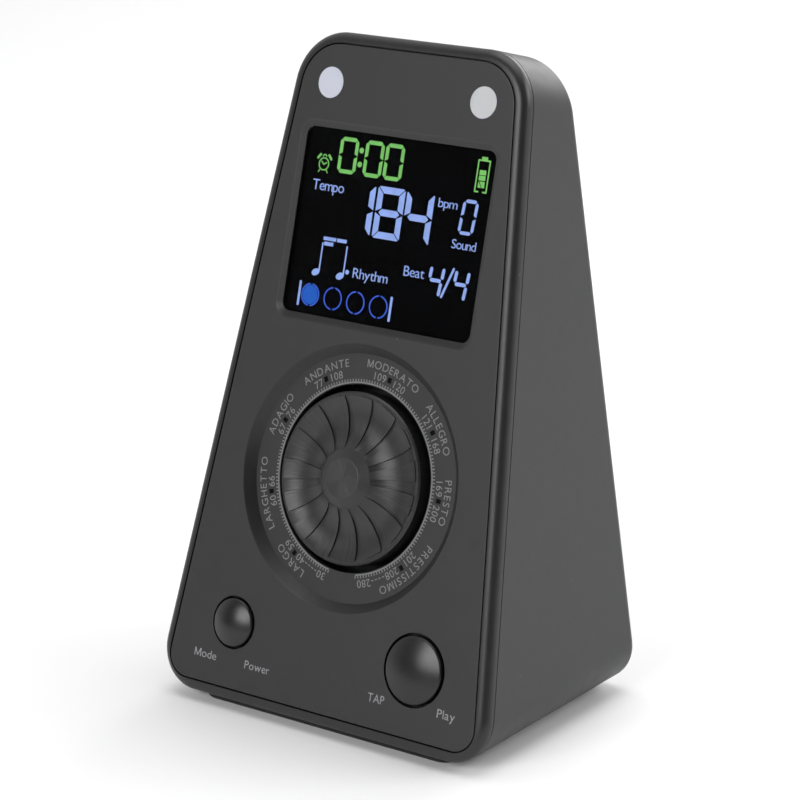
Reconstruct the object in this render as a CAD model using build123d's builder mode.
from build123d import *

# A digital metronome: a wedge-shaped case with a sloping face that carries a display, a tempo dial and two
# buttons, a loudspeaker behind a grille in the rear wall, and a rechargeable cell low in the case.
#
# Millimetres, +Z up, face towards -Y. The origin is the centre of the footprint, on the table.
# Places on the face are u (across), v (up the slope from the front plate's lower edge) and n (out of the
# face), so pieces behind the face have a negative n.

import os
from math import cos, hypot, radians, sin

# ---------------------------------------------------------------- case
roof_depth = 14.91  # depth of the case level with the plate's top edge
face_lean = 17.4  # degrees that the face leans back
plate_height = 140.0  # front plate, measured up the slope
base_half_width = 44.43  # half width of the case level with the plate's lower edge
top_half_width = 29.66  # half width of the case level with the plate's top edge
rim_width = 2.7  # rim that shows round the front plate
underside_drop = 3.3  # plate's lower edge down to the underside of the case
foot_height = 1.6  # rubber foot that shows under the case
wall = 2.2
edge_round = 2.25  # front edge of the bezel, inside the seam
rear_round = 2.0
roof_corner = 12.2
base_corner = 9.0
bezel_depth = 2.8
parting_gap = 0.2  # groove between bezel and rear housing
tongue_gap = 0.15  # bezel tongue inside the housing wall
tongue_thickness = 1.0
tongue_reach = 6.0  # depth of the tongue's end behind the face

# ---------------------------------------------------------------- front plate
plate_thickness = 2.0
plate_top_corner = 9.5
plate_low_corner = 5.0
seam = 0.28
plate_edge = 0.2  # softened front edge of the plate and of the seam
fit_gap = 0.05  # snug pieces that don't move
slide_gap = 0.2  # between a moving piece and what stops it

# ---------------------------------------------------------------- display
display_drop = 37.69  # display's centre below the plate's top edge
glass_half_width = 24.93
glass_height = 39.74
glass_corner = 2.0
bevel_width = 1.27
bevel_height = 1.53
bevel_depth = 0.7
glass_sink = 1.05
window_lap = 1.4  # how far the window reaches under the plate
lcd_margin = 1.07
lcd_thickness = 2.8
backlight_thickness = 3.0
holder_wall = 1.0
holder_floor = 1.0
holder_leg = 3.0  # square legs down to the main board
pin_pitch = 2.0
pin_count = 20
pin_size = 0.5
pin_inset = 0.9

# ---------------------------------------------------------------- beat lamps
lamp_u = 20.04
lamp_drop = 8.33  # lamps' centres below the plate's top edge
lamp_radius = 3.31
lamp_flange = 1.0
lamp_pipe_radius = 2.4
led_width = 2.8
led_height = 0.9
light_gap = 0.3
led_edge = 0.15

# ---------------------------------------------------------------- tempo dial
dial_v = 50.11
ring_gap = 1.58  # between the knob and the scale ring
scale_width = 6.47  # printed scale, from the ring's hole to the foot of the recess's wall
recess_flare = 2.05  # how far the recess's conical wall leans out
ring_lap = 1.6  # how far the scale ring reaches under the front plate
ring_thickness = 1.2
mark_inset = 2.47  # scale's marker windows out from the ring's hole
mark_angles = (235, 197, 156, 120, 76, 35, -2, -46)
mark_width = 1.2
mark_height = 1.0
guide_width = 2.4
guide_thickness = 1.2
guide_leg = 1.6
tempo_led_width = 1.6
tempo_led_height = 0.7

knob_radius = 18.35
knob_rim_n = -0.25
knob_rim_edge = 0.35
knob_lip = 0.95  # plain rim outside the raised sectors
knob_skirt_n = -5.0
knob_skirt_wall = 1.55
bowl_mid_radius = 12.2
bowl_mid_n = -1.6
hub_top_n = 1.0
hub_radius = 6.4
hub_socket_radius = 5.0
knob_shell = 1.6
hub_shell = 2.4  # thickness of the dished face at its hub
rib_count = 15
rib_angle = 14.0
rib_start = 7.9  # degrees from the right-hand side to the first rib
rib_height = 0.5
cap_top_n = 2.3
cap_top_radius = 4.3
cap_top_round = 0.4
cap_spigot_radius = 2.6
cap_spigot_length = 1.6
hub_web = 0.5  # between the cap's socket and the shaft's

shaft_radius = 3.0
shaft_flat = 1.5  # distance of the flat from the shaft's axis
shaft_clearance = 0.05
bushing_wall = 1.15
bushing_drop = 0.6  # bushing's top behind the knob's skirt
encoder_width = 12.0
encoder_height = 4.5
encoder_corner = 0.4
encoder_floor = 1.5  # shaft's foot in front of the main board

# ---------------------------------------------------------------- buttons
mode_u = -24.82
mode_v = 14.22
mode_cap_radius = 5.25
mode_gap = 0.53  # round the cap, in its hole
tap_u = 24.12
tap_v = 14.21
tap_cap_radius = 7.15
tap_gap = 0.65
cap_edge_n = 0.4
cap_dome = 1.25
cap_flat_radius = 0.2  # level middle of the dome
cap_flange = 0.9
cap_flange_thickness = 1.0
cap_edge_round = 0.5
stem_radius = 1.6
switch_width = 6.0
switch_height = 3.5
plunger_radius = 1.7
plunger_lift = 1.0
plunger_sink = 1.4
press_travel = 0.6

# ---------------------------------------------------------------- boards
board_n = -12.0
board_thickness = 1.6
board_margin = 1.0
board_post_radius = 2.6
board_low_post_inset = 8.43  # lower posts in from the case's sides
board_low_post_v = 36.0
board_top_post_u = 11.5
board_screw_radius = 1.0
board_screw_head = 1.9
board_screw_head_height = 1.5
board_screw_length = 7.0
chip_edge = 0.22
chip_mark_inset = 1.6  # pin-one dimple in from the chip's edges
chip_mark_radius = 0.4
chips = (  # name, u, v, width, length and height of each chip on the main board
    ("controller_chip", 0.0, 64.0, 12.0, 12.0, 1.2),
    ("display_driver_chip", 18.0, 78.0, 8.0, 8.0, 1.0),
    ("clock_crystal", -13.0, 66.0, 4.5, 10.0, 2.0),
)
socket_z = 38.0
power_board_gap = 9.3  # power board's front in front of the rear wall
power_board_half_width = 25.0
power_board_below = 12.0  # power board below and above the sockets
power_board_above = 8.0
power_post_u = 20.0
power_post_radius = 2.6
charger_width = 5.0
charger_length = 4.0
charger_height = 1.5
charger_rise = 4.5  # centre above the power board's lower edge
coil_side = 6.0
coil_corner = 1.0
coil_height = 3.0
coil_edge = 0.4
coil_x = 12.0
coil_rise = 6.0

# ---------------------------------------------------------------- sockets
usb_x = -9.0
usb_width = 8.94
usb_height = 3.26
usb_corner = 1.5
usb_wall = 0.3
usb_back_wall = 0.6
usb_tongue_width = 6.6
usb_tongue_height = 0.7
jack_x = 9.0
jack_body = 7.0
jack_nose_radius = 2.9
jack_bore_radius = 1.8
jack_bore_length = 8.0
socket_gap = 0.2
socket_sink = 0.5  # sockets end this far inside the rear face

# ---------------------------------------------------------------- case screws
top_screw_drop = 7.39  # top screw below the plate's top edge, measured upright
low_screw_inset = 6.69  # lower screws in from the case's sides
low_screw_z = 11.0
low_joint_depth = 11.38  # face to where a lower boss meets its post, measured level
top_joint_depth = 7.73
boss_radius = 3.4
post_radius = 4.2
screw_radius = 1.25
screw_length = 12.0
screw_head_radius = 2.3
screw_head_height = 1.8
screw_gap = 0.3
screw_slot = 0.45
screw_slot_depth = 0.9
low_seat_depth = 6.8  # lower screw heads behind that joint
boss_web = 3.0

# ---------------------------------------------------------------- loudspeaker
speaker_board_gap = 0.53  # magnet behind the main board, measured level
speaker_radius = 18.0
speaker_flange_width = 2.2
speaker_flange = 1.2
basket_depth = 7.3
basket_wall = 0.8
basket_step = 3.0  # from the magnet up to the basket's straight wall
magnet_radius = 9.0
magnet_depth = 4.7
magnet_base = 1.2
pole_radius = 3.9
gap_outer_radius = 5.3
coil_inner_radius = 4.3
coil_wall = 0.5
coil_length = 4.2
cone_radius = 15.2
cone_thickness = 0.5
dust_cap_rise = 1.2  # middle of the cone behind the voice coil's end
cone_front_gap = 1.7  # cone's outer edge behind the rear wall
clamp_radius = 22.5
clamp_inner_radius = 17.3
clamp_thickness = 1.0
clamp_screw_circle = 20.8
clamp_boss_radius = 1.7
clamp_screw_angles = (30, 150, 270)
grille_radius = 14.0
grille_slots = 7
grille_slot_height = 1.5
grille_pitch = 3.6

# ---------------------------------------------------------------- cell and its holder
cell_radius = 7.0
cell_length = 50.0
cell_end = 1.0  # cell's rounded ends inside its contact nubs
cell_edge = 0.6
cell_nub_radius = 2.8
cell_depth = 24.3  # cell's axis in front of the rear wall
cell_floor = 1.0
holder_end = 3.0
holder_side = 1.5
holder_height = 9.0
contact_thickness = 0.4
contact_height = 11.0

# ---------------------------------------------------------------- wiring
lead_radius = 0.6
wire_bend = 2.0
cell_lead_rise = 6.0  # straight up from each contact plate
cell_lead_inset = 4.0  # cell leads inside the power board's screws
cell_lead_run = 7.0  # straight into the power board
cell_lead_height = 3.0  # above the power board's lower edge
speaker_lead_x = 6.0
speaker_lead_run = 6.0
speaker_lead_drop = 2.5  # below the power board's upper edge
ribbon_thickness = 0.3
ribbon_width = 14.0
ribbon_v = 34.0
ribbon_lift = 4.0  # straight out of the main board
ribbon_run = 6.0  # straight into the power board

# ---------------------------------------------------------------- rubber foot
foot_side_gap = 10.8
foot_recess = 1.0
foot_corner = 4.0
foot_front_gap = 0.4
foot_rear_gap = 3.0
foot_edge = 0.5

# ---------------------------------------------------------------- worked-out places
lean_sin = sin(radians(face_lean))
lean_cos = cos(radians(face_lean))
face_z = foot_height + underside_drop
toe_v = (edge_round * (1 + lean_sin) - underside_drop) / lean_cos
toe_overhang = edge_round * (1 - lean_cos) - toe_v * lean_sin
case_depth = toe_overhang + plate_height * lean_sin + roof_depth
side_slope = (base_half_width - top_half_width) / (plate_height * lean_cos)
rear_y = case_depth / 2
inner_rear_y = rear_y - wall
face_y = toe_overhang - rear_y
display_v = plate_height - display_drop
lamp_v = plate_height - lamp_drop
housing_n = -bezel_depth - parting_gap
board_back_n = board_n - board_thickness
lcd_front_n = -plate_thickness - slide_gap
lcd_back_n = lcd_front_n - lcd_thickness
backlight_back_n = lcd_back_n - backlight_thickness
holder_back_n = backlight_back_n - holder_floor
ring_hole_radius = knob_radius + ring_gap
recess_floor_radius = ring_hole_radius + scale_width
recess_radius = recess_floor_radius + recess_flare
ring_radius = recess_floor_radius + ring_lap
mark_radius = ring_hole_radius + mark_inset
ring_back_n = -plate_thickness - ring_thickness
guide_back_n = ring_back_n - guide_thickness
switch_top_n = board_n + switch_height
plunger_top_n = switch_top_n + plunger_lift
encoder_top_n = board_n + encoder_height
bushing_radius = shaft_radius + shaft_clearance + bushing_wall
bushing_top_n = knob_skirt_n - bushing_drop
mode_hole_radius = mode_cap_radius + mode_gap
tap_hole_radius = tap_cap_radius + tap_gap
shaft_socket_n = hub_top_n - cap_spigot_length - hub_web
power_board_y = inner_rear_y - power_board_gap
power_board_back_y = power_board_y + board_thickness
power_board_low = socket_z - power_board_below
power_board_high = socket_z + power_board_above
flange_y = inner_rear_y - speaker_flange
magnet_front_y = inner_rear_y - basket_depth
basket_step_y = magnet_front_y + basket_step
magnet_back_y = magnet_front_y - magnet_depth
magnet_room_y = magnet_back_y - speaker_board_gap + board_back_n / lean_cos - face_y
speaker_z = face_z + magnet_room_y * lean_cos / lean_sin - magnet_radius
coil_start_y = magnet_front_y - magnet_depth + magnet_base + coil_wall + press_travel / 2
cell_y = inner_rear_y - cell_depth
holder_low = foot_height + wall
cell_z = holder_low + cell_floor + cell_radius

FACE = Plane(origin=(0, face_y, face_z), x_dir=(1, 0, 0), z_dir=(0, -lean_cos, lean_sin))
OUT = FACE.z_dir
UP = FACE.y_dir


def face_point(u, v, n=0.0):
    """A place on, in front of or behind the face."""
    return FACE.from_local_coords(Vector(u, v, n))


def face_plane(u=0.0, v=0.0, n=0.0):
    """A sketching plane parallel to the face."""
    return Plane(origin=face_point(u, v, n), x_dir=FACE.x_dir, z_dir=OUT)


def face_section(u, v):
    """A plane through an axis square to the face: x is the radius, y is the height out of the face."""
    return Plane(origin=face_point(u, v), x_dir=FACE.x_dir, z_dir=-UP)


def face_axis(u, v):
    """The axis square to the face through a place on it."""
    return Axis(face_point(u, v), OUT)


def back_plane(x, z, y):
    """A sketching plane square to Y, seen from the front."""
    return Plane(origin=(x, y, z), x_dir=(1, 0, 0), z_dir=(0, -1, 0))


ROOF = Plane(origin=face_point(0, plate_height + rim_width), x_dir=(1, 0, 0), z_dir=UP)
SPEAKER_SECTION = Plane(origin=(0, 0, speaker_z), x_dir=(1, 0, 0), z_dir=(0, 0, -1))
SPEAKER_AXIS = Axis((0, 0, speaker_z), (0, 1, 0))


def finish(piece, name):
    """Labels a finished piece and writes it out."""
    piece.part.label = name
    export_step(piece.part, f"parts/{name}.step")


os.makedirs("parts", exist_ok=True)


# ---------------------------------------------------------------- shared forms
def half_width(z, inset=0.0):
    """Half width of the case at a height, inside a skin of the given thickness."""
    return base_half_width - (z - face_z) * side_slope - inset * hypot(1, side_slope)


def case_form(inset):
    """The case's closed form, its front on the face and its other sides moved in."""
    low = foot_height + inset
    high = face_z + plate_height + rim_width
    with BuildPart() as form:
        with BuildSketch(Plane.XZ.offset(inset - rear_y)):
            with BuildLine():
                Polyline(
                    (-half_width(low, inset), low),
                    (half_width(low, inset), low),
                    (half_width(high, inset), high),
                    (-half_width(high, inset), high),
                    close=True,
                )
            make_face()
        extrude(amount=2 * case_depth)
        split(bisect_by=FACE, keep=Keep.BOTTOM)
        split(bisect_by=ROOF.offset(-inset), keep=Keep.BOTTOM)
        roof = form.faces().sort_by(Axis(FACE.origin, UP))[-1]
        fillet(roof.edges().filter_by(Axis.X, reverse=True), roof_corner - inset)
        underside = form.faces().sort_by(Axis.Z)[0]
        fillet(underside.edges().filter_by(Axis.X, reverse=True), base_corner - inset)
    return form.part


def rounded_case():
    """The outer form with its front and rear edges rounded."""
    with BuildPart() as form:
        add(case_form(0))
        fillet(form.faces().sort_by(Axis(FACE.origin, OUT))[-1].edges(), edge_round)
        fillet(form.faces().sort_by(Axis.Y)[-1].edges(), rear_round)
    return form.part


def slice_of(form, front_n, back_n):
    """The slice of a form between two depths behind the face."""
    with BuildPart() as piece:
        add(form)
        split(bisect_by=FACE.offset(front_n), keep=Keep.BOTTOM)
        split(bisect_by=FACE.offset(back_n), keep=Keep.TOP)
    return piece.part


def plate_outline(growth):
    """The front plate's outline grown by a margin, as a flat sketch in u and v."""
    low = -growth
    high = plate_height + growth
    low_half = half_width(face_z + low * lean_cos, rim_width - growth)
    high_half = half_width(face_z + high * lean_cos, rim_width - growth)
    with BuildSketch() as outline:
        with BuildLine():
            Polyline((-low_half, low), (low_half, low), (high_half, high), (-high_half, high), close=True)
        make_face()
        fillet(outline.vertices().group_by(Axis.Y)[0], plate_low_corner + growth)
        fillet(outline.vertices().group_by(Axis.Y)[-1], plate_top_corner + growth)
    return outline.sketch


def rods(spots, radius, start_y, end_y):
    """Round rods along Y at (x, z) spots, as one part."""
    with BuildPart() as group:
        with BuildSketch(back_plane(0, 0, end_y)):
            with Locations(*spots):
                Circle(radius)
        extrude(amount=end_y - start_y)
    return group.part


def face_at(z):
    """How far back the face is at a height."""
    return face_y + (z - face_z) * lean_sin / lean_cos


CASE_OUTSIDE = rounded_case()
CASE_INSIDE = case_form(wall)

top_screw_z = face_z + plate_height * lean_cos - top_screw_drop
low_screw_x = half_width(low_screw_z) - low_screw_inset
low_screws = ((-low_screw_x, low_screw_z), (low_screw_x, low_screw_z))
top_screws = ((0.0, top_screw_z),)
low_joint_y = face_at(low_screw_z) + low_joint_depth
top_joint_y = face_at(top_screw_z) + top_joint_depth
low_screw_seat_y = low_joint_y + low_seat_depth
top_screw_seat_y = face_at(top_screw_z) + (plate_thickness + screw_gap) / lean_cos + screw_length

low_post_u = half_width(face_z + board_low_post_v * lean_cos) - board_low_post_inset
board_head_y = inner_rear_y - screw_gap + (board_back_n - board_screw_head_height) * lean_cos
board_top_head_v = (board_head_y - face_y) / lean_sin
board_top_post_v = board_top_head_v - board_screw_head
board_posts = (
    (-low_post_u, board_low_post_v),
    (low_post_u, board_low_post_v),
    (-board_top_post_u, board_top_post_v),
    (board_top_post_u, board_top_post_v),
)


# ---------------------------------------------------------------- front bezel
def bezel_bosses():
    """Screw bosses of the bezel, cut off behind the front plate, with the web that ties in the top one."""
    with BuildPart() as bosses:
        add(rods(low_screws, boss_radius, -rear_y, low_joint_y - fit_gap))
        add(rods(top_screws, boss_radius, -rear_y, top_joint_y - fit_gap))
        split(bisect_by=FACE.offset(-plate_thickness), keep=Keep.BOTTOM)
        boss_v = (top_screw_z - face_z + plate_thickness * lean_sin) / lean_cos
        roof_v = plate_height + rim_width - wall - tongue_gap - tongue_thickness / 2
        with BuildSketch(face_plane(0, (boss_v + roof_v) / 2, -plate_thickness)):
            Rectangle(boss_web, roof_v - boss_v)
        extrude(amount=plate_thickness - tongue_reach)
    return bosses.part


with BuildPart() as front_bezel:
    add(slice_of(CASE_OUTSIDE, 0, -bezel_depth))
    add(slice_of(case_form(wall + tongue_gap), -bezel_depth, -tongue_reach))
    tongue_inside = case_form(wall + tongue_gap + tongue_thickness)
    add(slice_of(tongue_inside, -plate_thickness, -2 * tongue_reach), mode=Mode.SUBTRACT)
    with BuildSketch(face_plane()):
        add(plate_outline(seam))
    extrude(amount=-plate_thickness, mode=Mode.SUBTRACT)
    add(bezel_bosses())
    add(rods(low_screws + top_screws, screw_radius + fit_gap, -rear_y, rear_y), mode=Mode.SUBTRACT)
finish(front_bezel, "front_bezel")


# ---------------------------------------------------------------- rear housing
def housing_shell():
    """The case behind the parting groove, hollowed."""
    with BuildPart() as shell:
        add(CASE_OUTSIDE)
        split(bisect_by=FACE.offset(housing_n), keep=Keep.BOTTOM)
        add(CASE_INSIDE, mode=Mode.SUBTRACT)
    return shell.part


def housing_posts():
    """Posts that the case screws pass through, from the rear wall to the bezel's bosses."""
    with BuildPart() as posts:
        add(rods(low_screws, post_radius, low_joint_y, rear_y - wall / 2))
        add(rods(top_screws, post_radius, top_joint_y, rear_y - wall / 2))
    return posts.part


def speaker_spots():
    """The (x, z) places of the speaker clamp's screws."""
    turns = [radians(angle) for angle in clamp_screw_angles]
    return [(clamp_screw_circle * cos(t), speaker_z + clamp_screw_circle * sin(t)) for t in turns]


power_spots = ((-power_post_u, socket_z), (power_post_u, socket_z))
clamp_y = flange_y - clamp_thickness

with BuildPart() as rear_housing:
    add(housing_shell())
    add(housing_posts())
    add(rods(power_spots, power_post_radius, power_board_back_y, rear_y - wall / 2))
    add(rods(speaker_spots(), clamp_boss_radius, flange_y, rear_y - wall / 2))
    # screw holes, with a deep recess for each head
    add(rods(low_screws + top_screws, screw_radius + screw_gap, -rear_y, rear_y), mode=Mode.SUBTRACT)
    add(rods(low_screws, screw_head_radius + screw_gap, low_screw_seat_y, rear_y), mode=Mode.SUBTRACT)
    add(rods(top_screws, screw_head_radius + screw_gap, top_screw_seat_y, rear_y), mode=Mode.SUBTRACT)
    add(rods(power_spots, board_screw_radius, power_board_back_y, inner_rear_y), mode=Mode.SUBTRACT)
    add(rods(speaker_spots(), board_screw_radius, flange_y, rear_y - wall / 2), mode=Mode.SUBTRACT)
    # speaker grille: level slots inside a circle
    with BuildSketch(back_plane(0, speaker_z, rear_y)):
        for row in range(grille_slots):
            height = (row - (grille_slots - 1) / 2) * grille_pitch
            with Locations((0, height)):
                SlotOverall(2 * (grille_radius**2 - height**2) ** 0.5, grille_slot_height)
    extrude(amount=wall, mode=Mode.SUBTRACT)
    # socket openings
    with BuildSketch(back_plane(0, socket_z, rear_y)):
        with Locations((usb_x, 0)):
            RectangleRounded(
                usb_width + 2 * socket_gap, usb_height + 2 * socket_gap, usb_corner + socket_gap
            )
        with Locations((jack_x, 0)):
            Circle(jack_nose_radius + socket_gap)
    extrude(amount=wall, mode=Mode.SUBTRACT)
    # shallow bed for the rubber foot
    groove_back_y = face_y - (housing_n + underside_drop * lean_sin) / lean_cos
    foot_front_y = groove_back_y + foot_front_gap
    foot_back_y = rear_y - foot_rear_gap
    foot_half_width = half_width(foot_height) - foot_side_gap
    with BuildSketch(Plane(origin=(0, (foot_front_y + foot_back_y) / 2, foot_height))):
        RectangleRounded(
            2 * (foot_half_width + fit_gap), foot_back_y - foot_front_y + 2 * fit_gap, foot_corner + fit_gap
        )
    extrude(amount=foot_recess, mode=Mode.SUBTRACT)
finish(rear_housing, "rear_housing")

with BuildPart() as base_foot:
    with BuildSketch(Plane(origin=(0, (foot_front_y + foot_back_y) / 2, 0))):
        RectangleRounded(2 * foot_half_width, foot_back_y - foot_front_y, foot_corner)
    extrude(amount=foot_height + foot_recess)
    fillet(base_foot.faces().sort_by(Axis.Z)[0].edges(), foot_edge)
finish(base_foot, "base_foot")


# ---------------------------------------------------------------- front plate
def display_opening(grow_width, grow_height, grow_corner):
    """The display opening's rounded rectangle, grown each way."""
    return RectangleRounded(
        2 * (glass_half_width + grow_width), glass_height + 2 * grow_height, glass_corner + grow_corner
    )


with BuildPart() as front_plate:
    with BuildSketch(face_plane()):
        add(plate_outline(0))
    extrude(amount=-plate_thickness)
    fillet(front_plate.faces().sort_by(Axis(FACE.origin, OUT))[-1].edges(), plate_edge)
    # bevelled display opening and the bed for its window
    with BuildSketch(face_plane(0, display_v)):
        display_opening(bevel_width, bevel_height, bevel_width)
    with BuildSketch(face_plane(0, display_v, -bevel_depth)):
        display_opening(0, 0, 0)
    loft(mode=Mode.SUBTRACT)
    with BuildSketch(face_plane(0, display_v)):
        display_opening(0, 0, 0)
    extrude(amount=-plate_thickness, mode=Mode.SUBTRACT)
    with BuildSketch(face_plane(0, display_v, -glass_sink)):
        display_opening(window_lap + fit_gap, window_lap + fit_gap, window_lap)
    extrude(amount=glass_sink - plate_thickness, mode=Mode.SUBTRACT)
    # conical dial recess
    with BuildSketch(face_section(0, dial_v)):
        with BuildLine():
            Polyline(
                (0, 0),
                (recess_radius, 0),
                (recess_floor_radius, -plate_thickness),
                (0, -plate_thickness),
                close=True,
            )
        make_face()
    revolve(axis=face_axis(0, dial_v), mode=Mode.SUBTRACT)
    # button and lamp holes
    with BuildSketch(face_plane()):
        with Locations((mode_u, mode_v)):
            Circle(mode_hole_radius)
        with Locations((tap_u, tap_v)):
            Circle(tap_hole_radius)
        with Locations((-lamp_u, lamp_v), (lamp_u, lamp_v)):
            Circle(lamp_radius + fit_gap)
    extrude(amount=-plate_thickness, mode=Mode.SUBTRACT)
    # posts for the main board
    with BuildSketch(face_plane(n=-plate_thickness)):
        with Locations(*board_posts):
            Circle(board_post_radius)
    extrude(amount=board_n + plate_thickness)
    with BuildSketch(face_plane(n=board_n)):
        with Locations(*board_posts):
            Circle(board_screw_radius)
    extrude(amount=board_screw_length - board_thickness + screw_gap, mode=Mode.SUBTRACT)
finish(front_plate, "front_plate")


# ---------------------------------------------------------------- display stack
with BuildPart() as display_window:
    with BuildSketch(face_plane(0, display_v, -glass_sink)):
        display_opening(window_lap, window_lap, window_lap)
    extrude(amount=glass_sink - plate_thickness)
finish(display_window, "display_window")

lcd_half = glass_half_width + lcd_margin
lcd_height = glass_height + 2 * lcd_margin
pin_v = display_v - lcd_height / 2 + pin_inset
backlight_low = pin_v + 2 * pin_size
backlight_high = display_v + lcd_height / 2

with BuildPart() as lcd_panel:
    with BuildSketch(face_plane(0, display_v, lcd_front_n)):
        Rectangle(2 * lcd_half, lcd_height)
    extrude(amount=-lcd_thickness)
finish(lcd_panel, "lcd_panel")

with BuildPart() as lcd_backlight:
    with BuildSketch(face_plane(0, (backlight_low + backlight_high) / 2, lcd_back_n)):
        Rectangle(2 * lcd_half, backlight_high - backlight_low)
    extrude(amount=-backlight_thickness)
finish(lcd_backlight, "lcd_backlight")

with BuildPart() as lcd_pins:
    with BuildSketch(face_plane(0, pin_v, lcd_back_n)):
        with GridLocations(pin_pitch, 0, pin_count, 1):
            Rectangle(pin_size, pin_size)
    extrude(amount=board_n - lcd_back_n)
finish(lcd_pins, "lcd_pins")

with BuildPart() as lcd_holder:
    holder_gap = fit_gap + holder_wall
    with BuildSketch(face_plane(0, display_v, lcd_front_n)):
        Rectangle(2 * (lcd_half + holder_gap), lcd_height + 2 * holder_gap)
    extrude(amount=holder_back_n - lcd_front_n)
    with BuildSketch(face_plane(0, display_v, lcd_front_n)):
        Rectangle(2 * (lcd_half + fit_gap), lcd_height + 2 * fit_gap)
    extrude(amount=backlight_back_n - lcd_front_n, mode=Mode.SUBTRACT)
    with BuildSketch(face_plane(0, pin_v, backlight_back_n)):
        Rectangle(pin_pitch * pin_count, 3 * pin_size)
    extrude(amount=-holder_floor, mode=Mode.SUBTRACT)
    leg_pitch_u = 2 * (lcd_half + holder_gap) - holder_leg
    leg_pitch_v = lcd_height + 2 * holder_gap - holder_leg
    with BuildSketch(face_plane(0, display_v, holder_back_n)):
        with GridLocations(leg_pitch_u, leg_pitch_v, 2, 2):
            Rectangle(holder_leg, holder_leg)
    extrude(amount=board_n - holder_back_n)
finish(lcd_holder, "lcd_holder")


# ---------------------------------------------------------------- beat lamps
def beat_lens(name, u):
    """A round lens flush with the face, with a flange behind the plate and a light pipe to its LED."""
    with BuildPart() as lens:
        with BuildSketch(face_plane(u, lamp_v)):
            Circle(lamp_radius)
        extrude(amount=-plate_thickness)
        with BuildSketch(face_plane(u, lamp_v, -plate_thickness)):
            Circle(lamp_radius + lamp_flange)
        extrude(amount=-lamp_flange)
        with BuildSketch(face_plane(u, lamp_v, -plate_thickness - lamp_flange)):
            Circle(lamp_pipe_radius)
        extrude(amount=board_n + led_height + light_gap + plate_thickness + lamp_flange)
    finish(lens, name)


def surface_led(name, u, v, turn, width, height):
    """A square LED on the front of the main board."""
    with BuildPart() as led:
        with BuildSketch(face_plane(u, v, board_n)):
            Rectangle(width, width, rotation=turn)
        extrude(amount=height)
        chamfer(led.faces().sort_by(Axis(FACE.origin, OUT))[-1].edges(), led_edge)
    finish(led, name)


for side, place in (("left", -lamp_u), ("right", lamp_u)):
    beat_lens(f"beat_lens_{side}", place)
    surface_led(f"beat_led_{side}", place, lamp_v, 0, led_width, led_height)

# ---------------------------------------------------------------- tempo scale
with BuildPart() as scale_ring:
    with BuildSketch(face_plane(0, dial_v, -plate_thickness)):
        Circle(ring_radius)
        Circle(ring_hole_radius, mode=Mode.SUBTRACT)
        for angle in mark_angles:
            with PolarLocations(mark_radius, 1, start_angle=angle):
                Rectangle(mark_width, mark_height, mode=Mode.SUBTRACT)
    extrude(amount=-ring_thickness)
finish(scale_ring, "scale_ring")

with BuildPart() as tempo_light_guide:
    with BuildSketch(face_plane(0, dial_v, ring_back_n)):
        Circle(mark_radius + guide_width / 2)
        Circle(mark_radius - guide_width / 2, mode=Mode.SUBTRACT)
    extrude(amount=-guide_thickness)
    with BuildSketch(face_plane(0, dial_v, guide_back_n)):
        for angle in mark_angles:
            with PolarLocations(mark_radius, 1, start_angle=angle):
                Rectangle(guide_leg, guide_leg)
    extrude(amount=board_n + tempo_led_height + light_gap - guide_back_n)
    with BuildSketch(face_plane(0, dial_v, ring_back_n)):
        for angle in mark_angles:
            with PolarLocations(mark_radius, 1, start_angle=angle):
                Rectangle(mark_width - 2 * fit_gap, mark_height - 2 * fit_gap)
    extrude(amount=ring_thickness - fit_gap)
finish(tempo_light_guide, "tempo_light_guide")

for number, angle in enumerate(mark_angles, 1):
    led_u = mark_radius * cos(radians(angle))
    led_v = dial_v + mark_radius * sin(radians(angle))
    surface_led(f"tempo_led_{number}", led_u, led_v, angle, tempo_led_width, tempo_led_height)


# ---------------------------------------------------------------- tempo knob
def shaft_section(radius, gap=0.0):
    """The shaft's D-shaped section, drawn in the current sketch."""
    Circle(radius)
    with Locations((shaft_flat + gap + radius, 0)):
        Rectangle(2 * radius, 2 * radius, mode=Mode.SUBTRACT)


def knob_rib():
    """One raised sector of the knob's dished face, at the right-hand side."""
    with BuildPart() as rib:
        with BuildSketch(face_section(0, dial_v)):
            with BuildLine():
                crest = ThreePointArc(
                    (knob_radius - knob_lip, knob_rim_n + rib_height / 2),
                    (bowl_mid_radius, bowl_mid_n + rib_height),
                    (hub_radius, hub_top_n + fit_gap),
                )
                Line(crest @ 1, (hub_radius, hub_top_n - rib_height))
                root = ThreePointArc(
                    (hub_radius, hub_top_n - rib_height),
                    (bowl_mid_radius, bowl_mid_n - rib_height),
                    (knob_radius - knob_lip, knob_rim_n - rib_height),
                )
                Line(root @ 1, crest @ 0)
            make_face()
        revolve(axis=face_axis(0, dial_v), revolution_arc=rib_angle)
    return rib.part


KNOB_RIB = knob_rib()

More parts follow.
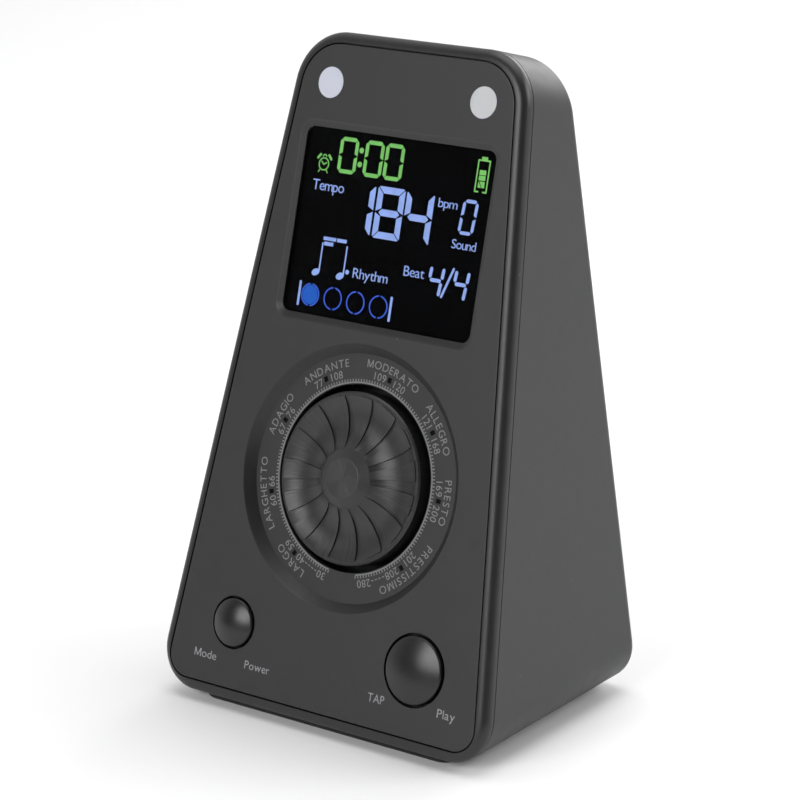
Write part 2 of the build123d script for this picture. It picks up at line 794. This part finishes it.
with BuildPart() as knob_body:
    skirt_inner = knob_radius - knob_skirt_wall
    with BuildSketch(face_section(0, dial_v)):
        with BuildLine():
            Polyline(
                (hub_radius, hub_top_n),
                (0, hub_top_n),
                (0, knob_skirt_n),
                (hub_socket_radius, knob_skirt_n),
                (hub_socket_radius, hub_top_n - hub_shell),
            )
            ThreePointArc(
                (hub_socket_radius, hub_top_n - hub_shell),
                (bowl_mid_radius, bowl_mid_n - knob_shell),
                (skirt_inner, knob_rim_n - knob_shell),
            )
            Polyline(
                (skirt_inner, knob_rim_n - knob_shell),
                (skirt_inner, knob_skirt_n),
                (knob_radius, knob_skirt_n),
                (knob_radius, knob_rim_n - knob_rim_edge),
                (knob_radius - knob_rim_edge, knob_rim_n),
                (knob_radius - knob_lip, knob_rim_n),
            )
            ThreePointArc(
                (knob_radius - knob_lip, knob_rim_n),
                (bowl_mid_radius, bowl_mid_n),
                (hub_radius, hub_top_n),
            )
        make_face()
    revolve(axis=face_axis(0, dial_v))
    for number in range(rib_count):
        add(KNOB_RIB.rotate(face_axis(0, dial_v), rib_start + number * 360 / rib_count))
    # sockets for the cap's spigot and for the shaft
    with BuildSketch(face_plane(0, dial_v, hub_top_n)):
        Circle(cap_spigot_radius)
    extrude(amount=-cap_spigot_length, mode=Mode.SUBTRACT)
    with BuildSketch(face_plane(0, dial_v, knob_skirt_n)):
        shaft_section(shaft_radius)
    extrude(amount=shaft_socket_n - knob_skirt_n, mode=Mode.SUBTRACT)
finish(knob_body, "knob_body")

with BuildPart() as knob_cap:
    with BuildSketch(face_section(0, dial_v)):
        with BuildLine():
            Polyline(
                (0, hub_top_n - cap_spigot_length),
                (cap_spigot_radius, hub_top_n - cap_spigot_length),
                (cap_spigot_radius, hub_top_n),
                (hub_radius, hub_top_n),
                (cap_top_radius, cap_top_n),
                (0, cap_top_n),
                close=True,
            )
        make_face()
    revolve(axis=face_axis(0, dial_v))
    fillet(knob_cap.edges().filter_by(GeomType.CIRCLE).sort_by(Axis(FACE.origin, OUT))[-1], cap_top_round)
finish(knob_cap, "knob_cap")

with BuildPart() as encoder_shaft:
    shaft_foot_n = board_n + encoder_floor
    with BuildSketch(face_plane(0, dial_v, shaft_foot_n)):
        Circle(shaft_radius)
    extrude(amount=knob_skirt_n - shaft_foot_n)
    with BuildSketch(face_plane(0, dial_v, knob_skirt_n)):
        shaft_section(shaft_radius)
    extrude(amount=shaft_socket_n - fit_gap - knob_skirt_n)
finish(encoder_shaft, "encoder_shaft")

with BuildPart() as encoder_body:
    with BuildSketch(face_plane(0, dial_v, board_n)):
        Rectangle(encoder_width, encoder_width)
    extrude(amount=encoder_height)
    chamfer(encoder_body.edges().filter_by(Axis(FACE.origin, OUT)), encoder_corner)
    with BuildSketch(face_plane(0, dial_v, encoder_top_n)):
        Circle(shaft_radius + shaft_clearance)
    extrude(amount=shaft_foot_n - slide_gap - encoder_top_n, mode=Mode.SUBTRACT)
finish(encoder_body, "encoder_body")

with BuildPart() as encoder_bushing:
    with BuildSketch(face_plane(0, dial_v, encoder_top_n)):
        Circle(bushing_radius)
        Circle(shaft_radius + shaft_clearance, mode=Mode.SUBTRACT)
    extrude(amount=bushing_top_n - encoder_top_n)
finish(encoder_bushing, "encoder_bushing")


# ---------------------------------------------------------------- buttons
def button_cap(name, u, v, cap_radius, hole_radius):
    """A domed cap with a retaining flange behind the plate and a stem down to its switch."""
    flange_n = -plate_thickness - slide_gap
    flange_radius = hole_radius + cap_flange
    dome_top_n = cap_edge_n + cap_dome
    with BuildPart() as cap:
        with BuildSketch(face_section(u, v)):
            with BuildLine():
                dome = RadiusArc(
                    (cap_flat_radius, dome_top_n),
                    (cap_radius, cap_edge_n),
                    ((cap_radius - cap_flat_radius) ** 2 + cap_dome**2) / (2 * cap_dome),
                )
                Polyline(
                    dome @ 1,
                    (cap_radius, flange_n),
                    (flange_radius, flange_n),
                    (flange_radius, flange_n - cap_flange_thickness),
                    (stem_radius, flange_n - cap_flange_thickness),
                    (stem_radius, plunger_top_n),
                    (0, plunger_top_n),
                    (0, dome_top_n),
                    dome @ 0,
                )
            make_face()
        revolve(axis=face_axis(u, v))
        rims = cap.edges().filter_by(lambda edge: edge.is_closed).sort_by(Axis(FACE.origin, OUT))
        fillet(rims[-2], cap_edge_round)
    finish(cap, name)


def switch_body(name, u, v):
    """A square press switch on the main board, bored for its plunger."""
    with BuildPart() as switch:
        with BuildSketch(face_plane(u, v, board_n)):
            Rectangle(switch_width, switch_width)
        extrude(amount=switch_height)
        with BuildSketch(face_plane(u, v, switch_top_n)):
            Circle(plunger_radius + shaft_clearance)
        extrude(amount=-(plunger_sink + press_travel + slide_gap), mode=Mode.SUBTRACT)
    finish(switch, name)


def switch_plunger(name, u, v):
    """The round plunger that a button's stem pushes."""
    with BuildPart() as plunger:
        with BuildSketch(face_plane(u, v, plunger_top_n)):
            Circle(plunger_radius)
        extrude(amount=-(plunger_lift + plunger_sink))
    finish(plunger, name)


buttons = (
    ("mode", mode_u, mode_v, mode_cap_radius, mode_hole_radius),
    ("tap", tap_u, tap_v, tap_cap_radius, tap_hole_radius),
)
for label, button_u, button_v, cap_radius, hole_radius in buttons:
    button_cap(f"{label}_button", button_u, button_v, cap_radius, hole_radius)
    switch_body(f"{label}_switch", button_u, button_v)
    switch_plunger(f"{label}_plunger", button_u, button_v)


# ---------------------------------------------------------------- main board
def chip(name, u, v, width, length, height):
    """A chip with a pin-one dimple on the back of the main board."""
    with BuildPart() as package:
        with BuildSketch(face_plane(u, v, board_back_n)):
            Rectangle(width, length)
        extrude(amount=-height)
        top = package.faces().sort_by(Axis(FACE.origin, OUT))[0]
        chamfer(top.edges(), chip_edge)
        mark_u = u - width / 2 + chip_mark_inset
        mark_v = v + length / 2 - chip_mark_inset
        with BuildSketch(face_plane(mark_u, mark_v, board_back_n - height)):
            Circle(chip_mark_radius)
        extrude(amount=chip_edge, mode=Mode.SUBTRACT)
    finish(package, name)


with BuildPart() as main_board:
    add(slice_of(case_form(wall + board_margin), board_n, board_back_n))
    add(rods(low_screws + top_screws, post_radius + 2 * screw_gap, -rear_y, rear_y), mode=Mode.SUBTRACT)
    with BuildSketch(face_plane(n=board_n)):
        with Locations(*board_posts):
            Circle(board_screw_radius + fit_gap)
    extrude(amount=-board_thickness, mode=Mode.SUBTRACT)
finish(main_board, "main_board")

with BuildPart() as board_screws:
    with BuildSketch(face_plane(n=board_back_n)):
        with Locations(*board_posts):
            Circle(board_screw_head)
    extrude(amount=-board_screw_head_height)
    with BuildSketch(face_plane(n=board_back_n)):
        with Locations(*board_posts):
            Circle(board_screw_radius)
    extrude(amount=board_screw_length)
finish(board_screws, "board_screws")

for label, chip_u, chip_v, chip_width, chip_length, chip_height in chips:
    chip(label, chip_u, chip_v, chip_width, chip_length, chip_height)

# ---------------------------------------------------------------- power board and sockets
with BuildPart() as power_board:
    with BuildSketch(back_plane(0, (power_board_low + power_board_high) / 2, power_board_back_y)):
        Rectangle(2 * power_board_half_width, power_board_high - power_board_low)
    extrude(amount=board_thickness)
    board_hole_radius = board_screw_radius + fit_gap
    add(rods(power_spots, board_hole_radius, power_board_y, power_board_back_y), mode=Mode.SUBTRACT)
finish(power_board, "power_board")

with BuildPart() as power_board_screws:
    add(rods(power_spots, board_screw_head, power_board_y - board_screw_head_height, power_board_y))
    add(rods(power_spots, board_screw_radius, power_board_y, power_board_y + board_screw_length))
finish(power_board_screws, "power_board_screws")

with BuildPart() as usb_port:
    usb_front_y = rear_y - socket_sink
    with BuildSketch(back_plane(usb_x, socket_z, usb_front_y)):
        RectangleRounded(usb_width, usb_height, usb_corner)
    extrude(amount=usb_front_y - power_board_back_y)
    with BuildSketch(back_plane(usb_x, socket_z, usb_front_y)):
        RectangleRounded(usb_width - 2 * usb_wall, usb_height - 2 * usb_wall, usb_corner - usb_wall)
        Rectangle(usb_tongue_width, usb_tongue_height, mode=Mode.SUBTRACT)
    extrude(amount=usb_front_y - power_board_back_y - usb_back_wall, mode=Mode.SUBTRACT)
finish(usb_port, "usb_port")

with BuildPart() as phones_jack:
    jack_front_y = rear_y - socket_sink
    jack_shoulder_y = inner_rear_y - slide_gap
    with BuildSketch(back_plane(jack_x, socket_z, jack_shoulder_y)):
        Rectangle(jack_body, jack_body)
    extrude(amount=jack_shoulder_y - power_board_back_y)
    add(rods(((jack_x, socket_z),), jack_nose_radius, jack_shoulder_y, jack_front_y))
    bore_end_y = jack_front_y - jack_bore_length
    add(rods(((jack_x, socket_z),), jack_bore_radius, bore_end_y, jack_front_y), mode=Mode.SUBTRACT)
finish(phones_jack, "phones_jack")

with BuildPart() as charger_chip:
    with BuildSketch(back_plane(0, power_board_low + charger_rise, power_board_y)):
        Rectangle(charger_width, charger_length)
    extrude(amount=charger_height)
finish(charger_chip, "charger_chip")

with BuildPart() as power_coil:
    with BuildSketch(back_plane(coil_x, power_board_low + coil_rise, power_board_y)):
        RectangleRounded(coil_side, coil_side, coil_corner)
    extrude(amount=coil_height)
    fillet(power_coil.faces().sort_by(Axis.Y)[0].edges(), coil_edge)
finish(power_coil, "power_coil")


# ---------------------------------------------------------------- loudspeaker
def turned(name, outline):
    """A ring-shaped speaker piece: radius and y points turned about the speaker's axis."""
    with BuildPart() as piece:
        with BuildSketch(SPEAKER_SECTION):
            with BuildLine():
                Polyline(*[(radius, -y) for radius, y in outline], close=True)
            make_face()
        revolve(axis=SPEAKER_AXIS)
    finish(piece, name)


flange_inner = speaker_radius - speaker_flange_width
basket_radius = clamp_inner_radius - fit_gap
turned(
    "speaker_frame",
    (
        (speaker_radius, inner_rear_y),
        (speaker_radius, flange_y),
        (basket_radius, flange_y),
        (basket_radius, basket_step_y),
        (magnet_radius, magnet_front_y),
        (gap_outer_radius, magnet_front_y),
        (gap_outer_radius, magnet_front_y + basket_wall),
        (magnet_radius, magnet_front_y + basket_wall),
        (basket_radius - basket_wall, basket_step_y + basket_wall),
        (basket_radius - basket_wall, inner_rear_y - basket_wall),
        (flange_inner, inner_rear_y - basket_wall),
        (flange_inner, inner_rear_y),
    ),
)
turned(
    "speaker_magnet",
    (
        (0, magnet_back_y),
        (magnet_radius, magnet_back_y),
        (magnet_radius, magnet_front_y),
        (gap_outer_radius, magnet_front_y),
        (gap_outer_radius, magnet_back_y + magnet_base),
        (pole_radius, magnet_back_y + magnet_base),
        (pole_radius, magnet_front_y),
        (0, magnet_front_y),
    ),
)
coil_end_y = coil_start_y + coil_length
coil_outer = coil_inner_radius + coil_wall
turned(
    "voice_coil",
    (
        (coil_inner_radius, coil_start_y),
        (coil_outer, coil_start_y),
        (coil_outer, coil_end_y),
        (coil_inner_radius, coil_end_y),
    ),
)
cone_rim_y = inner_rear_y - cone_front_gap
turned(
    "speaker_cone",
    (
        (0, coil_end_y + dust_cap_rise),
        (0, coil_end_y + dust_cap_rise - cone_thickness),
        (coil_inner_radius, coil_end_y),
        (coil_outer, coil_end_y),
        (cone_radius, cone_rim_y - cone_thickness),
        (cone_radius, cone_rim_y),
        (coil_outer, coil_end_y + cone_thickness),
        (coil_inner_radius, coil_end_y + cone_thickness),
    ),
)

with BuildPart() as speaker_clamp:
    add(rods(((0, speaker_z),), clamp_radius, clamp_y, flange_y))
    add(rods(((0, speaker_z),), clamp_inner_radius, clamp_y, flange_y), mode=Mode.SUBTRACT)
    add(rods(speaker_spots(), board_screw_radius + fit_gap, clamp_y, flange_y), mode=Mode.SUBTRACT)
finish(speaker_clamp, "speaker_clamp")

with BuildPart() as speaker_screws:
    speaker_screw_end_y = inner_rear_y + wall / 2 - screw_gap
    clamp_head_radius = clamp_radius - clamp_screw_circle
    add(rods(speaker_spots(), clamp_head_radius, clamp_y - board_screw_head_height, clamp_y))
    add(rods(speaker_spots(), board_screw_radius, clamp_y, speaker_screw_end_y))
finish(speaker_screws, "speaker_screws")

# ---------------------------------------------------------------- cell, holder and contacts
contact_x = cell_length / 2
holder_half = contact_x + contact_thickness + fit_gap + holder_end

with BuildPart() as battery_cell:
    with BuildSketch(Plane(origin=(-contact_x + cell_end, cell_y, cell_z), z_dir=(1, 0, 0))):
        Circle(cell_radius)
    extrude(amount=cell_length - 2 * cell_end)
    fillet(battery_cell.edges().filter_by(GeomType.CIRCLE), cell_edge)
    with BuildSketch(Plane(origin=(-contact_x, cell_y, cell_z), z_dir=(1, 0, 0))):
        Circle(cell_nub_radius)
    extrude(amount=cell_length)
finish(battery_cell, "battery_cell")

with BuildPart() as battery_holder:
    with BuildSketch(Plane(origin=(0, cell_y, holder_low))):
        Rectangle(2 * holder_half, 2 * (cell_radius + slide_gap + holder_side))
    extrude(amount=holder_height)
    with BuildSketch(Plane(origin=(-contact_x - fit_gap, cell_y, cell_z), z_dir=(1, 0, 0))):
        Circle(cell_radius + slide_gap)
    extrude(amount=cell_length + 2 * fit_gap, mode=Mode.SUBTRACT)
    with BuildSketch(Plane(origin=(0, cell_y, cell_z))):
        Rectangle(cell_length + 2 * fit_gap, 2 * (cell_radius + slide_gap))
    extrude(amount=holder_height, mode=Mode.SUBTRACT)
    # slots for the contact plates, open at the top
    with BuildSketch(Plane(origin=(0, cell_y, holder_low + cell_floor))):
        with GridLocations(cell_length + contact_thickness, 0, 2, 1):
            Rectangle(contact_thickness + 2 * fit_gap, cell_radius + 2 * fit_gap)
    extrude(amount=holder_height, mode=Mode.SUBTRACT)
finish(battery_holder, "battery_holder")

for side, sign in (("minus", -1), ("plus", 1)):
    with BuildPart() as contact:
        plate_x = sign * (contact_x + contact_thickness / 2)
        with BuildSketch(Plane(origin=(plate_x, cell_y, holder_low + cell_floor))):
            Rectangle(contact_thickness, cell_radius)
        extrude(amount=contact_height)
    finish(contact, f"battery_contact_{side}")


# ---------------------------------------------------------------- wiring
def wire(points, bend, radius):
    """A round wire along straight runs with rounded bends."""
    with BuildPart() as strand:
        with BuildLine():
            path = FilletPolyline(*points, radius=bend)
        with BuildSketch(Plane(origin=path @ 0, z_dir=path % 0)):
            Circle(radius)
        sweep()
    return strand.part


contact_top = holder_low + cell_floor + contact_height
cell_lead_z = power_board_low + cell_lead_height
with BuildPart() as battery_leads:
    for sign in (-1, 1):
        plate_x = sign * (contact_x + contact_thickness / 2)
        board_x = sign * (power_post_u - cell_lead_inset)
        route = (
            (plate_x, cell_y, contact_top),
            (plate_x, cell_y, contact_top + cell_lead_rise),
            (board_x, power_board_y - cell_lead_run, cell_lead_z),
            (board_x, power_board_y, cell_lead_z),
        )
        add(wire(route, wire_bend, lead_radius))
finish(battery_leads, "battery_leads")

with BuildPart() as speaker_leads:
    lug_z = speaker_z - (clamp_radius + clamp_inner_radius) / 2
    start_z = power_board_high - speaker_lead_drop
    for sign in (-1, 1):
        route = (
            (sign * speaker_lead_x, power_board_y, start_z),
            (sign * speaker_lead_x, power_board_y - speaker_lead_run, start_z),
            (sign * speaker_lead_x, power_board_y - speaker_lead_run, lug_z),
            (sign * speaker_lead_x, clamp_y, lug_z),
        )
        add(wire(route, wire_bend, lead_radius))
finish(speaker_leads, "speaker_leads")

with BuildPart() as board_ribbon:
    ribbon_start = face_point(0, ribbon_v, board_back_n)
    ribbon_turn = face_point(0, ribbon_v, board_back_n - ribbon_lift)
    with BuildSketch(Plane(origin=(-ribbon_width / 2, 0, 0), x_dir=(0, 1, 0), z_dir=(1, 0, 0))):
        with BuildLine():
            FilletPolyline(
                (ribbon_start.Y, ribbon_start.Z),
                (ribbon_turn.Y, ribbon_turn.Z),
                (power_board_y - ribbon_run, socket_z),
                (power_board_y, socket_z),
                radius=wire_bend,
            )
        trace(line_width=ribbon_thickness)
    extrude(amount=ribbon_width)
finish(board_ribbon, "board_ribbon")

# ---------------------------------------------------------------- case screws
with BuildPart() as case_screws:
    for spots, seat_y in ((low_screws, low_screw_seat_y), (top_screws, top_screw_seat_y)):
        add(rods(spots, screw_head_radius, seat_y, seat_y + screw_head_height))
        add(rods(spots, screw_radius, seat_y - screw_length, seat_y))
        with BuildSketch(back_plane(0, 0, seat_y + screw_head_height)):
            with Locations(*spots):
                Rectangle(screw_head_radius, screw_slot)
                Rectangle(screw_slot, screw_head_radius)
        extrude(amount=screw_slot_depth, mode=Mode.SUBTRACT)
finish(case_screws, "case_screws")
